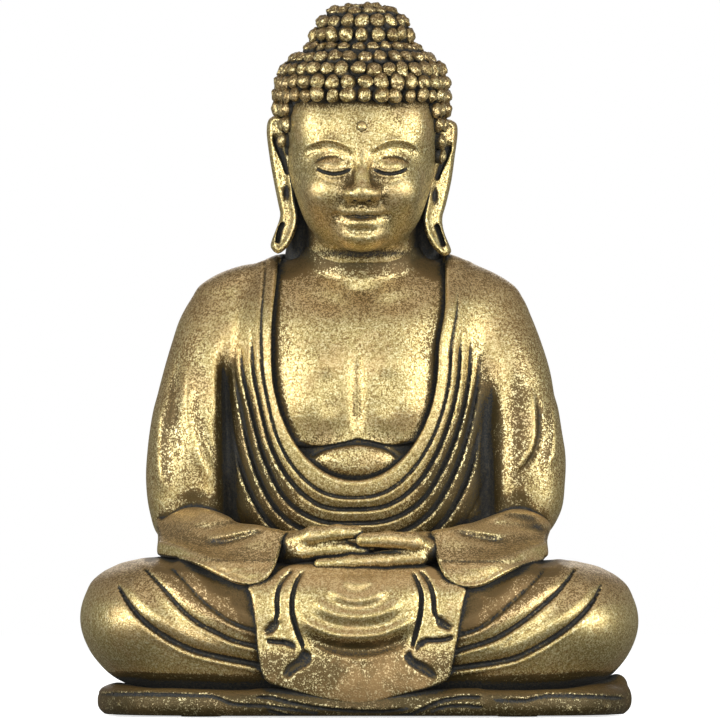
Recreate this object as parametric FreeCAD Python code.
import FreeCAD, Part

# Seated Buddha statue: hollow resin castings, joined by tenons and dowels over a screwed base board.
# Millimetres. +Z is up, the figure faces -Y, and its own right hand is on the -X side.
# The origin is on the floor, under the middle of the statue.

import math
import os

Vec = FreeCAD.Vector
UP = Vec(0, 0, 1)
SIDES = {"right": -1, "left": 1}

# Driving dimensions
HEIGHT = 400.0
KNEE_REACH = 155.0
DRAPE_FRONT = 105.0
SLAB_HALF_WIDTH = 149.0
SLAB_FRONT = 101.5
SLAB_BACK = 105.0
WALL = 6.0
PAD_PROUD = 1.0

# Levels
SLAB_BOTTOM = PAD_PROUD
SLAB_TOP = 15.0
SEAT_Z = 84.0
SHOULDER_Z = 257.0
NECK_X = 1.5
NECK_Y = 20.0

# Small fittings
DOWEL_R = 3.0
NECK_DOWEL_R = 4.0
HAND_PIN_R = 2.0
EAR_PIN_R = 1.25
SCREW_R = 1.75
SCREW_HEAD_R = 3.5
SCREW_LENGTH = 11.0
PAD_R = 11.0
PAD_THICKNESS = 2.0
BOARD_THICKNESS = 4.0
OVAL_POINTS = 20
SQUARENESS = 2.2


# ---------------------------------------------------------------- shapes

def closed_curve(points):
    """A smooth closed wire through points."""
    curve = Part.BSplineCurve()
    curve.interpolate(points, PeriodicFlag=True)
    return Part.Wire([curve.toShape()])


def signed_power(value, power):
    return math.copysign(abs(value) ** power, value)


def oval_point(turn, z, x, y, half_width, front, back):
    """A point of a level oval: half_width each side of x, and reaches front and back of y."""
    across = signed_power(math.cos(turn), 2 / SQUARENESS)
    along = signed_power(math.sin(turn), 2 / SQUARENESS)
    reach = back if along > 0 else front
    return Vec(x + half_width * across, y + reach * along, z)


def oval(*section):
    turns = [2 * math.pi * (i + 0.5) / OVAL_POINTS for i in range(OVAL_POINTS)]
    return closed_curve([oval_point(turn, *section) for turn in turns])


def oval_loft(sections, inset=0.0, ruled=False):
    """A solid through level ovals (z, x, y, half_width, front, back), each drawn in by inset."""
    wires = []
    for z, x, y, half_width, front, back in sections:
        wires.append(oval(z, x, y, half_width - inset, front - inset, back - inset))
    return Part.makeLoft(wires, True, ruled)


# Shares of the half width and of the reach for the plan of the crossed legs, from the front middle round
# one knee to the back middle. A negative reach share counts towards the front, a positive one to the back.
LEG_PLAN = [
    (0.00, -1.00), (0.30, -1.00), (0.58, -0.97), (0.83, -0.80), (0.97, -0.47),
    (0.99, -0.12), (0.90, 0.22), (0.74, 0.55), (0.52, 0.84), (0.25, 0.98),
]


def leg_plan(z, half_width, front, back):
    """The level outline of the crossed legs: broad at the knees, narrower at the seat."""
    right_half = []
    for across, along in LEG_PLAN:
        reach = front if along < 0 else back
        right_half.append(Vec(half_width * across, reach * along, z))
    left_half = [Vec(-p.x, p.y, p.z) for p in reversed(right_half[1:])]
    return closed_curve(right_half + [Vec(0, back, z)] + left_half)


def plan_loft(sections, inset=0.0):
    wires = [leg_plan(z, w - inset, f - inset, b - inset) for z, w, f, b in sections]
    return Part.makeLoft(wires, True, False)


def cylinder(radius, start, end):
    return Part.makeCylinder(radius, (end - start).Length, start, end - start)


def capsule(radius, start, end):
    """A rod with round ends, such as a finger joint."""
    ends = [Part.makeSphere(radius, start), Part.makeSphere(radius, end)]
    return cylinder(radius, start, end).fuse(ends)


def finger(radii, points):
    """A bent finger: capsules end to end through points."""
    bones = [capsule(r, a, b) for r, a, b in zip(radii, points, points[1:])]
    return bones[0].fuse(bones[1:]) if len(bones) > 1 else bones[0]


def ellipsoid(centre, radii):
    stretch = FreeCAD.Matrix()
    stretch.scale(radii.x, radii.y, radii.z)
    ball = Part.makeSphere(1.0).transformGeometry(stretch)
    ball.translate(centre)
    return ball


def block(low, high):
    size = high - low
    return Part.makeBox(size.x, size.y, size.z, low)


def mirrored(point, side):
    return Vec(side * point.x, point.y, point.z)


# ---------------------------------------------------------------- base

# Heights and how far the slab's rounded edge is drawn in there.
SLAB_EDGE = [(SLAB_BOTTOM, 6.0), (4.0, 1.5), (8.5, 0.0), (12.5, 2.0), (SLAB_TOP, 8.0)]
SLAB_RIM = 26.0
REBATE_STEP = 8.0
SCREW_SPOTS = [(-118, -34), (-60, -80), (60, -80), (118, -34), (-68, 68), (68, 68)]
PAD_SPOTS = [(-88, -48), (88, -48), (-58, 46), (58, 46)]
BOSS_R = 8.0
REBATE_TOP = SLAB_BOTTOM + BOARD_THICKNESS


def base_slab():
    """The cast mat under the legs: a ring with a rebate below for the board and bosses for its screws."""
    opening = prism(SLAB_RIM, SLAB_BOTTOM - 1, SLAB_TOP + 1)
    rebate = prism(SLAB_RIM - REBATE_STEP, SLAB_BOTTOM - 1, REBATE_TOP)
    bosses = [
        Part.makeCylinder(BOSS_R, SLAB_TOP - REBATE_TOP - 1, Vec(x, y, REBATE_TOP))
        for x, y in SCREW_SPOTS
    ]
    slab = slab_outside().cut(opening).cut(rebate).fuse(bosses)
    return slab.cut([screw_hole(x, y) for x, y in SCREW_SPOTS])


def slab_outside():
    wires = [slab_outline(z, inset) for z, inset in SLAB_EDGE]
    return Part.makeLoft(wires, True, False)


def slab_outline(z, inset):
    return leg_plan(z, SLAB_HALF_WIDTH - inset, SLAB_FRONT - inset, SLAB_BACK - inset)


def prism(inset, low, high):
    """An upright prism inside the slab's plan, drawn in by inset."""
    return Part.Face(slab_outline(low, inset)).extrude(Vec(0, 0, high - low))


def screw_hole(x, y):
    top = SLAB_BOTTOM + SCREW_LENGTH
    return Part.makeCylinder(SCREW_R, top - SLAB_BOTTOM, Vec(x, y, SLAB_BOTTOM))


def base_board():
    """The board that closes the underside, with countersunk screw holes and recesses for the pads."""
    board = prism(SLAB_RIM - REBATE_STEP + 0.3, SLAB_BOTTOM, REBATE_TOP)
    recess = PAD_THICKNESS - PAD_PROUD
    pads = [Part.makeCylinder(PAD_R, recess, Vec(x, y, SLAB_BOTTOM)) for x, y in PAD_SPOTS]
    screws = [base_screw(x, y) for x, y in SCREW_SPOTS]
    return board.cut(pads + screws)


def base_screw(x, y):
    """A countersunk wood screw, head down and flush with the board."""
    head_height = SCREW_HEAD_R - SCREW_R
    head = Part.makeCone(SCREW_HEAD_R, SCREW_R, head_height, Vec(x, y, SLAB_BOTTOM))
    shank = Part.makeCylinder(SCREW_R, SCREW_LENGTH, Vec(x, y, SLAB_BOTTOM))
    slot = block(Vec(x - 3, y - 0.4, SLAB_BOTTOM), Vec(x + 3, y + 0.4, SLAB_BOTTOM + 0.8))
    return head.fuse(shank).cut(slot)


def felt_pads():
    return [Part.makeCylinder(PAD_R, PAD_THICKNESS, Vec(x, y, 0)) for x, y in PAD_SPOTS]


# ---------------------------------------------------------------- legs and lap

# Height, half width, front and back reach of the crossed legs.
LEG_SECTIONS = [
    (SLAB_TOP, 128.0, 82.0, 80.0),
    (22.0, 139.0, 89.0, 86.0),
    (32.0, 147.5, 94.0, 89.0),
    (44.0, 153.0, 97.0, 91.0),
    (57.0, KNEE_REACH, 97.0, 92.0),
    (70.0, 151.5, 93.0, 91.0),
    (79.0, 142.0, 86.0, 88.0),
    (86.0, 121.0, 74.0, 82.0),
    (89.0, 96.0, 58.0, 74.0),
]
TORSO_PIN_SPOTS = [(-50, 4), (50, 4), (-44, 52), (44, 52)]
TORSO_PIN_REACH = 9.0
VENT_R = 14.0
VENT_REACH = 10.0


def leg_shell(legs_outside, torso):
    """The crossed legs as one hollow casting, open below, with a level seat for the torso."""
    hollow = plan_loft([(z - WALL, w, f, b) for z, w, f, b in LEG_SECTIONS[:-1]], WALL)
    deck = block(Vec(-160, -110, SEAT_Z - WALL), Vec(160, 110, HEIGHT))
    return legs_outside.cut(hollow.cut(deck)).cut([torso, vent()] + torso_pins())


def vent():
    """The hole through seat and torso floor that lets the castings breathe."""
    return Part.makeCylinder(VENT_R, 2 * VENT_REACH, Vec(0, 28, SEAT_Z - VENT_REACH))


def torso_pins():
    pins = []
    for x, y in TORSO_PIN_SPOTS:
        foot = Vec(x, y, SEAT_Z - TORSO_PIN_REACH)
        pins.append(Part.makeCylinder(DOWEL_R, 2 * TORSO_PIN_REACH, foot))
    return pins


DRAPE_TOP = 85.0
DRAPE_BACK = 78.0


def lap_drape(neighbours):
    """The panel of robe that falls from the lap over the ankles, and ends in a point above the mat."""
    corners = [
        Vec(-58, 0, DRAPE_TOP), Vec(-60, 0, 72), Vec(-57, 0, 40), Vec(-53, 0, 21),
        Vec(0, 0, 8), Vec(50, 0, 19), Vec(53, 0, 40), Vec(57, 0, 72), Vec(56, 0, DRAPE_TOP),
    ]
    outline = Part.Face(Part.makePolygon(corners + corners[:1]))
    outline.translate(Vec(0, -DRAPE_FRONT - 5, 0))
    panel = outline.extrude(Vec(0, DRAPE_FRONT + 5 - DRAPE_BACK, 0))
    bulge = oval_loft([
        (6.0, 0, 0, 150.0, DRAPE_FRONT - 1, 20.0),
        (20.0, 0, 0, 150.0, DRAPE_FRONT - 1, 20.0),
        (42.0, 0, 0, 150.0, DRAPE_FRONT, 20.0),
        (62.0, 0, 0, 150.0, DRAPE_FRONT - 1, 20.0),
        (78.0, 0, 0, 140.0, DRAPE_FRONT - 7, 20.0),
        (DRAPE_TOP, 0, 0, 120.0, DRAPE_FRONT - 15, 20.0),
    ])
    return panel.common(bulge).cut(neighbours)


# ---------------------------------------------------------------- torso

TORSO_SECTIONS = [
    (SEAT_Z, 0.0, 28.0, 72.0, 50.0, 52.0),
    (110.0, 0.0, 26.0, 74.0, 50.0, 54.0),
    (140.0, -1.0, 24.0, 76.0, 50.0, 55.0),
    (175.0, -2.0, 23.0, 81.0, 53.0, 55.0),
    (205.0, -1.0, 23.0, 84.0, 54.0, 54.0),
    (228.0, 0.0, 25.0, 82.0, 48.0, 49.0),
    (243.0, 1.0, 26.0, 70.0, 38.0, 40.0),
    (252.0, 1.5, 26.0, 55.0, 31.0, 33.0),
    (SHOULDER_Z, 1.5, 26.0, 43.0, 25.0, 27.0),
]
ARM_SECTIONS = {
    "right": [
        (103.0, -90.0, 10.0, 20.0, 22.0, 22.0),
        (112.0, -90.0, 10.0, 27.0, 27.0, 28.0),
        (130.0, -90.0, 10.0, 29.5, 31.0, 32.0),
        (150.0, -88.5, 12.0, 29.5, 31.0, 32.0),
        (180.0, -84.0, 15.0, 28.0, 30.0, 31.0),
        (210.0, -77.0, 18.0, 27.0, 28.0, 29.0),
        (230.0, -70.0, 22.0, 26.0, 25.0, 26.0),
        (243.0, -66.0, 24.0, 17.0, 17.0, 18.0),
        (249.0, -63.0, 25.0, 7.0, 8.0, 8.0),
    ],
    "left": [
        (103.0, 84.0, 10.0, 20.0, 22.0, 22.0),
        (112.0, 84.5, 10.0, 27.0, 27.0, 28.0),
        (130.0, 85.5, 10.0, 29.0, 31.0, 32.0),
        (150.0, 86.0, 12.0, 29.0, 31.0, 32.0),
        (180.0, 82.0, 15.0, 27.5, 30.0, 31.0),
        (210.0, 74.5, 18.0, 26.5, 28.0, 29.0),
        (230.0, 69.0, 22.0, 25.5, 25.0, 26.0),
        (243.0, 64.0, 24.0, 17.0, 17.0, 18.0),
        (249.0, 61.0, 25.0, 7.0, 8.0, 8.0),
    ],
}
NECKLINE_X = -2.5
NECKLINE_Z = 200.0
NECKLINE_HALF_WIDTH = 46.5
NECKLINE_DROP = 68.5
ROBE_STEP = 3.5
BUST_WALL = 5.0
BUST_LAP = 5.0
BUST_DECK_Z = 236.0
BUST_BACK_Y = 12.0
COLLAR_R = 34.0
NECK_TENON_R = 20.0
NECK_TENON_DEPTH = 15.0
NECK_SEAT_Z = 249.0


def torso_outside():
    outer = oval_loft(TORSO_SECTIONS)
    return outer.fuse([oval_loft(ARM_SECTIONS[side]) for side in SIDES])


def trunk(inset, top=SHOULDER_Z):
    """The trunk without its arms, drawn in by inset and closed the same amount below its top."""
    sections = [s for s in TORSO_SECTIONS if s[0] < top]
    sections[0] = (SEAT_Z + WALL,) + sections[0][1:]
    if top >= SHOULDER_Z:
        sections.append((SHOULDER_Z - inset,) + TORSO_SECTIONS[-1][1:])
    return oval_loft(sections, inset)


def torso_hollow():
    """The inside of the casting: the trunk and both upper arms, one wall in from the outside."""
    arms = []
    for side in SIDES:
        inner = [s for s in ARM_SECTIONS[side] if 110 < s[0] < 235]
        arms.append(oval_loft(inner, WALL))
    return trunk(WALL).fuse(arms)


def neckline_prism(margin):
    """The U-shaped opening of the robe, cut through from the front, grown by margin."""
    half_width = NECKLINE_HALF_WIDTH + margin
    drop = NECKLINE_DROP + margin
    points = []
    for i in range(9):
        turn = math.pi * i / 8
        x = NECKLINE_X - half_width * math.cos(turn)
        points.append(Vec(x, -60, NECKLINE_Z - drop * math.sin(turn)))
    bowl = Part.BSplineCurve()
    bowl.interpolate(points)
    top_right = Vec(points[-1].x, -60, HEIGHT)
    top_left = Vec(points[0].x, -60, HEIGHT)
    sides = [
        Part.LineSegment(points[-1], top_right).toShape(),
        Part.LineSegment(top_right, top_left).toShape(),
        Part.LineSegment(top_left, points[0]).toShape(),
    ]
    outline = Part.Face(Part.Wire([bowl.toShape()] + sides))
    return outline.extrude(Vec(0, 60 + BUST_BACK_Y, 0))


def neck_opening():
    """The round opening in the robe's collar, where the neck comes through."""
    foot = Vec(NECK_X, NECK_Y, BUST_DECK_Z)
    return Part.makeCylinder(COLLAR_R, HEIGHT - BUST_DECK_Z, foot)


def bust(neck_cutters):
    """The bare chest, belly and shoulders: a casting let in behind the robe, with the neck's socket."""
    inside = trunk(ROBE_STEP + BUST_WALL, BUST_DECK_Z)
    chest = trunk(ROBE_STEP).common(neckline_prism(0))
    lap = trunk(WALL).common(neckline_prism(BUST_LAP))
    deck = trunk(WALL).common(block(Vec(-90, -60, BUST_DECK_Z), Vec(90, 90, HEIGHT)))
    neck_base = trunk(ROBE_STEP).common(neck_opening())
    return chest.fuse([lap, deck, neck_base]).cut([inside] + neck_cutters)


def torso_shell(outside, chest, sleeve_pins):
    """The robed trunk and upper arms, open over the chest and round the neck."""
    openings = [torso_hollow(), vent(), neckline_prism(0), neck_opening(), chest]
    return outside.cut(openings + torso_pins() + sleeve_pins)


def neck_socket():
    return Part.makeCylinder(
        NECK_TENON_R, 40, Vec(NECK_X, NECK_Y, NECK_SEAT_Z - NECK_TENON_DEPTH)
    )


# ---------------------------------------------------------------- sleeves and hands

# Each station of a sleeve: its middle, its half length across the forearm and its half height.
SLEEVE_STATIONS = [
    (Vec(106, 12, 107), 15.0, 12.0),
    (Vec(96, -6, 103), 27.0, 19.0),
    (Vec(82, -32, 97), 31.0, 23.0),
    (Vec(64, -50, 91), 32.0, 22.0),
    (Vec(47, -62, 89), 25.0, 16.0),
]
SLEEVE_X_SHIFT = {"right": -4.0, "left": -1.0}
FOREARM_DIRECTION = Vec(-0.80, -0.60, 0)


def sleeve_station(middle, half_across, half_height, side):
    """An oval standing across the forearm."""
    along = mirrored(FOREARM_DIRECTION, side)
    across = along.cross(UP).normalize()
    points = []
    for i in range(OVAL_POINTS):
        turn = 2 * math.pi * i / OVAL_POINTS
        level = signed_power(math.cos(turn), 0.85)
        rise = signed_power(math.sin(turn), 0.85)
        points.append(middle + across * (half_across * level) + UP * (half_height * rise))
    return closed_curve(points)


def sleeve(side_name, neighbours):
    """The forearm in its wide sleeve, resting on the thigh and closing against the elbow."""
    side = SIDES[side_name]
    shift = Vec(SLEEVE_X_SHIFT[side_name], 0, 0)
    wires = []
    for middle, half_across, half_height in SLEEVE_STATIONS:
        wires.append(sleeve_station(mirrored(middle, side) + shift, half_across, half_height, side))
    return Part.makeLoft(wires, True, False).cut(neighbours)


def sleeve_pin(side_name):
    """The dowel that ties a sleeve to the elbow above it."""
    x = SIDES[side_name] * 84 + SLEEVE_X_SHIFT[side_name]
    return cylinder(DOWEL_R, Vec(x, -6, 98), Vec(x, -6, 120))


HAND_Y = -70.0
FINGER_R = 4.4
PALM_RADII = Vec(15.0, 21.0, 8.5)


def right_hand():
    """Palm up in the lap, its thumb reaching across to the other hand."""
    palm = ellipsoid(Vec(-30, HAND_Y + 6, 92), PALM_RADII)
    parts = []
    for i in range(4):
        y = HAND_Y - 8 + i * 8.2
        points = [Vec(-30, y, 91), Vec(-12, y, 91.5), Vec(4, y, 91)]
        parts.append(finger([FINGER_R + 0.4, FINGER_R], points))
    thumb = finger(
        [5.6, 4.6], [Vec(-34, HAND_Y - 5, 97), Vec(-18, HAND_Y - 9, 101), Vec(-2, HAND_Y - 9, 102)]
    )
    return palm.fuse(parts + [thumb])


def left_hand():
    """The hand that lies underneath, its thumb turned back along its own fingers."""
    palm = ellipsoid(Vec(29, HAND_Y + 5, 90), PALM_RADII)
    parts = []
    for i in range(4):
        y = HAND_Y - 11 + i * 8.2
        points = [Vec(30, y, 87), Vec(6, y, 84), Vec(-17, y, 82.5)]
        parts.append(finger([FINGER_R + 0.4, FINGER_R - 0.8], points))
    thumb = finger(
        [5.6, 4.6], [Vec(31, HAND_Y - 8, 95), Vec(18, HAND_Y - 12, 98), Vec(5, HAND_Y - 12, 98)]
    )
    return palm.fuse(parts + [thumb])


def hand_pin(side_name):
    """The pin through the wrist into the cuff."""
    side = SIDES[side_name]
    return cylinder(HAND_PIN_R, Vec(side * 33, HAND_Y + 10, 92), Vec(side * 56, HAND_Y + 14, 92))


# ---------------------------------------------------------------- head

HEAD_X = 1.5
HEAD_SECTIONS = [
    (258.5, HEAD_X, -14.0, 12.0, 12.0, 14.0),
    (262.0, HEAD_X, -10.0, 22.0, 21.0, 24.0),
    (272.0, HEAD_X, -3.0, 31.5, 34.0, 38.0),
    (286.0, HEAD_X, 3.0, 37.0, 43.0, 48.0),
    (302.0, HEAD_X, 7.0, 39.5, 48.0, 50.0),
    (322.0, HEAD_X, 9.0, 41.0, 50.0, 50.0),
    (342.0, HEAD_X, 10.0, 41.0, 49.0, 49.0),
    (357.0, HEAD_X, 10.0, 36.5, 43.0, 43.0),
    (367.0, HEAD_X, 10.0, 27.0, 32.0, 32.0),
    (372.0, HEAD_X, 10.0, 14.0, 17.0, 17.0),
]
CAP_WALL = 4.5
FACE_WALL = 5.0
HAIRLINE_FRONT = Vec(0, -46, 343)
HAIRLINE_BACK = Vec(0, 66, 273)
NECK_R = 28.0


def above_hairline():
    """Everything above the slanting plane from the brow to the nape."""
    rise = HAIRLINE_FRONT.z - HAIRLINE_BACK.z
    run = HAIRLINE_BACK.y - HAIRLINE_FRONT.y
    slab = Part.makeBox(200, 300, 200, Vec(-100, -60, 0))
    slab.rotate(Vec(0, 0, 0), Vec(1, 0, 0), -math.degrees(math.atan2(rise, run)))
    slab.translate(HAIRLINE_FRONT)
    return slab


def head_outside():
    return oval_loft(HEAD_SECTIONS)


def nose():
    """A straight nose on the face's middle line."""
    bridge = Vec(HEAD_X, -40.5, 320)
    tip = Vec(HEAD_X, -46.5, 298)
    body = Part.makeCone(2.5, 5.0, (tip - bridge).Length, bridge, tip - bridge)
    wings = [Part.makeSphere(4.2, Vec(HEAD_X + dx, -42.5, 297.5)) for dx in (-4.6, 4.6)]
    return body.fuse(wings + [Part.makeSphere(5.0, tip)])


def head_shell(skull, cutters):
    """Face, back of the skull and neck as one hollow casting, with a tenon below."""
    hollow = oval_loft([s for s in HEAD_SECTIONS if 262 < s[0] < 372], FACE_WALL)
    neck = oval_loft([
        (NECK_SEAT_Z, NECK_X, NECK_Y, 30.0, 29.0, 29.0),
        (255.0, NECK_X, NECK_Y - 1, 28.5, 28.0, 27.0),
        (264.0, NECK_X, NECK_Y - 3, NECK_R, NECK_R, 27.0),
        (282.0, NECK_X, NECK_Y - 6, NECK_R, 26.0, 27.0),
    ])
    tenon = Part.makeCylinder(
        NECK_TENON_R - 0.1,
        NECK_TENON_DEPTH,
        Vec(NECK_X, NECK_Y, NECK_SEAT_Z - NECK_TENON_DEPTH),
    )
    return skull.fuse([neck, nose(), tenon]).cut(hollow).cut(cutters)


def neck_dowel():
    return cylinder(NECK_DOWEL_R, Vec(NECK_X, NECK_Y, 214), Vec(NECK_X, NECK_Y, 268))


HAIR_SECTIONS = [
    (z + (CAP_WALL if z > 360 else 0), x, y, w + CAP_WALL, f + CAP_WALL, b + CAP_WALL)
    for z, x, y, w, f, b in HEAD_SECTIONS
]
USHNISHA_SECTIONS = [
    (371.5, HEAD_X, 12.0, 27.0, 27.0, 27.0),
    (378.0, HEAD_X, 12.0, 25.5, 25.5, 25.5),
    (386.0, HEAD_X, 12.0, 21.0, 21.0, 21.0),
    (392.0, HEAD_X, 12.0, 14.0, 14.0, 14.0),
    (395.5, HEAD_X, 12.0, 6.0, 6.0, 6.0),
]
SPIGOT_R = 9.0
SPIGOT_FOOT_Z = 372.2
SPIGOT_LENGTH = 6.0
CURL_R = 4.3
CURL_PITCH = 9.3
CURL_SEAT = 0.15
HAIR_ROWS = [281, 289, 297, 305, 313, 321, 329, 337, 345, 353.5, 361.5, 368, 373]
CROWN_ROWS = [378.5, 385.5, 391.5, 395.5]


def hair_outside():
    """The round of the hair under its curls, from nape to crown."""
    return oval_loft(HAIR_SECTIONS, ruled=True)


def hair_cap(cutters):
    """The cap that carries the curls, fitted over the skull above the hairline."""
    return hair_outside().common(above_hairline()).cut([ushnisha_spigot()] + cutters)


def ushnisha_spigot():
    return Part.makeCylinder(SPIGOT_R, SPIGOT_LENGTH, Vec(HEAD_X, 12, SPIGOT_FOOT_Z))


def ushnisha(skull):
    """The raised crown, with a spigot let into the top of the cap."""
    crown = oval_loft(USHNISHA_SECTIONS, ruled=True)
    return crown.cut(hair_outside()).fuse(ushnisha_spigot()).cut(skull)


def oval_at(sections, z):
    """The oval of a ruled loft at height z."""
    for low, high in zip(sections, sections[1:]):
        if low[0] <= z <= high[0]:
            share = (z - low[0]) / (high[0] - low[0])
            return [a + (b - a) * share for a, b in zip(low[1:], high[1:])]
    return list(sections[-1][1:])


def curl(spot, outward):
    """One round curl: a dome standing on the cap."""
    ball = Part.makeSphere(CURL_R, Vec(0, 0, 0), UP, 0, 90, 360)
    foot = spot + outward.normalize() * CURL_SEAT
    ball.Placement = FreeCAD.Placement(foot, FreeCAD.Rotation(UP, outward))
    return ball


def curl_rows(sections, rows, grows_at):
    """Rows of curls round a ruled loft, wherever grows_at(spot) says that hair grows."""
    curls = []
    for row, z in enumerate(rows):
        x, y, half_width, front, back = oval_at(sections, z)
        _, _, above, _, _ = oval_at(sections, z + 2)
        lift = (half_width - above) / 2
        around = math.pi * (half_width + (front + back) / 2)
        count = int(around / CURL_PITCH)
        for i in range(count):
            turn = 2 * math.pi * (i + 0.5 * (row % 2)) / count
            reach = back if math.sin(turn) > 0 else front
            spot = oval_point(turn, z, x, y, half_width, front, back)
            outward = Vec(math.cos(turn) * reach, math.sin(turn) * half_width, lift * reach)
            if grows_at(spot):
                curls.append(curl(spot, outward))
    return curls


def on_scalp(spot):
    """True above the hairline and clear of the ears."""
    share = (spot.y - HAIRLINE_FRONT.y) / (HAIRLINE_BACK.y - HAIRLINE_FRONT.y)
    hairline = HAIRLINE_FRONT.z + share * (HAIRLINE_BACK.z - HAIRLINE_FRONT.z)
    behind_ear = abs(spot.y - EAR_Y) < EAR_KEEP_CLEAR and spot.z < EAR_TOP_Z + CURL_R
    return spot.z > hairline + 2 and not behind_ear


def hair_curls(crown):
    """The curls of the cap; those of the top rows are trimmed where they meet the raised crown."""
    curls = curl_rows(HAIR_SECTIONS, HAIR_ROWS, on_scalp)
    trimmed_above = HAIR_ROWS[-2] + 1
    return [one.cut(crown) if one.Placement.Base.z > trimmed_above else one for one in curls]


def ushnisha_curls(crown):
    curls = curl_rows(USHNISHA_SECTIONS, CROWN_ROWS, lambda spot: True)
    return [one.cut(crown) for one in curls]


def urna():
    """The small boss between the brows, with a peg behind it."""
    boss = Part.makeSphere(2.6, Vec(HEAD_X, -39.5, 328))
    peg = cylinder(1.0, Vec(HEAD_X, -40, 328), Vec(HEAD_X, -34, 328))
    return boss.fuse(peg)


EAR_Y = 10.0
EAR_TOP_Z = 332.0
EAR_KEEP_CLEAR = 14.0
EAR_THICKNESS = 9.0
EAR_LEAN = 1.5


def ear(side_name, neighbours):
    """A long-lobed ear: a broad rim with a hollow, and a slot through the lobe."""
    side = SIDES[side_name]
    outline = [
        Vec(0, -3, EAR_TOP_Z), Vec(0, 9, 329), Vec(0, 12, 316), Vec(0, 8, 296),
        Vec(0, 8, 276), Vec(0, 9, 264), Vec(0, 2, 257), Vec(0, -6, 263),
        Vec(0, -6, 282), Vec(0, -9, 300), Vec(0, -11, 320),
    ]
    slot = [Vec(0, 1, 274), Vec(0, 3.5, 268), Vec(0, 1, 262), Vec(0, -1.5, 268)]
    hollow = [Vec(0, -1, 326), Vec(0, 6, 318), Vec(0, 2, 300), Vec(0, -5, 310)]
    plate = ear_slice(outline, 0, EAR_THICKNESS)
    plate = plate.cut([ear_slice(slot, 0, EAR_THICKNESS), ear_slice(hollow, 5, EAR_THICKNESS)])
    if side < 0:
        plate = plate.mirror(Vec(0, 0, 0), Vec(1, 0, 0))
    plate.rotate(Vec(0, 0, 257), Vec(0, 1, 0), side * EAR_LEAN)
    plate.translate(Vec(HEAD_X + side * 43.5, EAR_Y, 0))
    return plate.cut(neighbours)


def ear_slice(points, inner, outer):
    """The flat outline through points, thick from inner to outer."""
    face = Part.Face(closed_curve(points))
    face.translate(Vec(inner, 0, 0))
    return face.extrude(Vec(outer - inner, 0, 0))


def ear_pins():
    pins = []
    for side in SIDES.values():
        for z in (300, 320):
            start = Vec(HEAD_X + side * 36, EAR_Y, z)
            pins.append(cylinder(EAR_PIN_R, start, start + Vec(side * 12, 0, 0)))
    return pins


# ---------------------------------------------------------------- assembly

def solids_of(shape):
    """The solids of a shape or of a list of shapes, checked and joined in one compound."""
    shapes = shape if isinstance(shape, list) else [shape]
    solids = [s for one in shapes for s in one.Solids if s.Volume > 1.0]
    return Part.makeCompound(solids)


def build():
    legs_outside = plan_loft(LEG_SECTIONS)
    outside = torso_outside()
    skull = head_outside()
    neck_pin = neck_dowel()
    sleeve_pins = [sleeve_pin(side) for side in SIDES]
    hand_pins = [hand_pin(side) for side in SIDES]
    pins_for_ears = ear_pins()
    brow_mark = urna()
    head = head_shell(skull, [neck_pin, brow_mark] + pins_for_ears)
    cap = hair_cap([skull] + pins_for_ears)
    crown = ushnisha(skull)
    ears = {side: ear(side, [skull, hair_outside(), head] + pins_for_ears) for side in SIDES}
    chest = bust([neck_socket(), neck_pin, head])
    drape = lap_drape([legs_outside, slab_outside()])
    in_the_way = [drape, legs_outside, outside] + hand_pins
    right = right_hand().cut(in_the_way)
    left = left_hand().cut([right] + in_the_way)
    sleeve_cutters = [legs_outside, outside, drape, right, left] + sleeve_pins + hand_pins
    return {
        "base_slab": base_slab(),
        "base_board": base_board(),
        "base_screws": [base_screw(x, y) for x, y in SCREW_SPOTS],
        "felt_pads": felt_pads(),
        "leg_shell": leg_shell(legs_outside, outside),
        "lap_drape": drape,
        "torso_shell": torso_shell(outside, chest, sleeve_pins),
        "torso_dowels": torso_pins(),
        "chest_bust": chest,
        "right_sleeve": sleeve("right", sleeve_cutters),
        "left_sleeve": sleeve("left", sleeve_cutters),
        "sleeve_dowels": sleeve_pins,
        "right_hand": right,
        "left_hand": left,
        "hand_pins": hand_pins,
        "head_shell": head,
        "neck_dowel": neck_pin,
        "hair_cap": cap,
        "hair_curls": hair_curls(crown),
        "ushnisha": crown,
        "ushnisha_curls": ushnisha_curls(crown),
        "urna": brow_mark,
        "right_ear": ears["right"],
        "left_ear": ears["left"],
        "ear_pins": pins_for_ears,
    }


os.makedirs("parts", exist_ok=True)
for node, made in build().items():
    compound = solids_of(made)
    count = len(compound.Solids)
    volume = compound.Volume / 1000
    print(f"{node:15s} {count:4d} solids {volume:9.2f} cm3, valid: {compound.isValid()}")
    compound.exportStep(f"parts/{node}.step")
